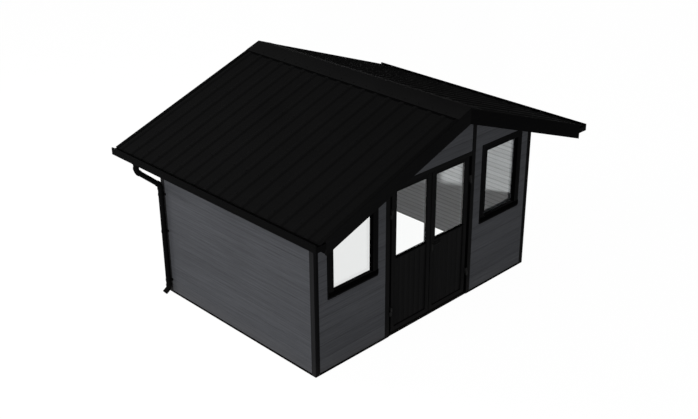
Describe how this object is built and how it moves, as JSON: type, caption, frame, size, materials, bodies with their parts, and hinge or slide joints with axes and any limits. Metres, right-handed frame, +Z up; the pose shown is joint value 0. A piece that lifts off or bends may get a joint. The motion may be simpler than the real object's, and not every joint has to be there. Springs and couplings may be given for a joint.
{
  "type": "garden shed",
  "caption": "Garden shed of dark painted boards under a gable roof of ridged steel sheet, with a glazed double door between windows and a gutter with a downpipe at each eave.",
  "frame": {"origin": "on the ground at the centre of the outline, which is that of the roof with its gutters", "axes": "the door and the windows face -Y, the ridge runs along Y, +X is to the right of someone who faces the door, +Z is up"},
  "size_m": [4.926, 3.78, 3.005],
  "materials": {
    "wall_boards": "matte paint",
    "dark_paint": "matte paint",
    "roof_steel": "matte paint",
    "hinge_steel": "satin",
    "handle_metal": "satin paint",
    "glass": "clear"
  },
  "bodies": {
    "shed": {"base_rails": "dark_paint", "post_front_left": "dark_paint", "post_front_right": "dark_paint", "post_back_left": "dark_paint", "post_back_right": "dark_paint", "door_post_left": "dark_paint", "door_post_right": "dark_paint", "door_head": "dark_paint", "left_wall": "wall_boards", "right_wall": "wall_boards", "back_wall": "wall_boards", "front_wall_left": "wall_boards", "front_wall_right": "wall_boards", "front_gable": "wall_boards", "left_window_frame": "dark_paint", "left_window_bead": "dark_paint", "left_window_glass": "glass", "right_window_frame": "dark_paint", "right_window_bead": "dark_paint", "right_window_glass": "glass", "hinge_pins": "hinge_steel", "wall_plates": "dark_paint", "purlins": "dark_paint", "ridge_beam": "dark_paint", "roof_left": "roof_steel", "roof_right": "roof_steel", "ridge_cap": "roof_steel", "verge_flashing": "roof_steel", "bargeboards_left": "dark_paint", "bargeboards_right": "dark_paint", "fascias": "dark_paint", "gutter_left": "roof_steel", "gutter_right": "roof_steel", "downpipe_left": "roof_steel", "downpipe_right": "roof_steel", "pipe_clips": "roof_steel"},
    "left_leaf": {"left_leaf_frame": "dark_paint", "left_leaf_panel": "dark_paint", "left_leaf_glass": "glass", "left_leaf_hinges": "hinge_steel"},
    "right_leaf": {"right_leaf_frame": "dark_paint", "right_leaf_panel": "dark_paint", "right_leaf_glass": "glass", "right_leaf_hinges": "hinge_steel", "door_handle": "handle_metal"}
  },
  "joints": [
    {"name": "left_leaf_hinge", "type": "hinge", "parent": "shed", "child": "left_leaf", "pos_m": [-0.732, -1.352, 1], "axis": [0, 0, -1], "range_deg": [0, 110]},
    {"name": "right_leaf_hinge", "type": "hinge", "parent": "shed", "child": "right_leaf", "pos_m": [0.732, -1.352, 1], "axis": [0, 0, 1], "range_deg": [0, 110]}
  ]
}
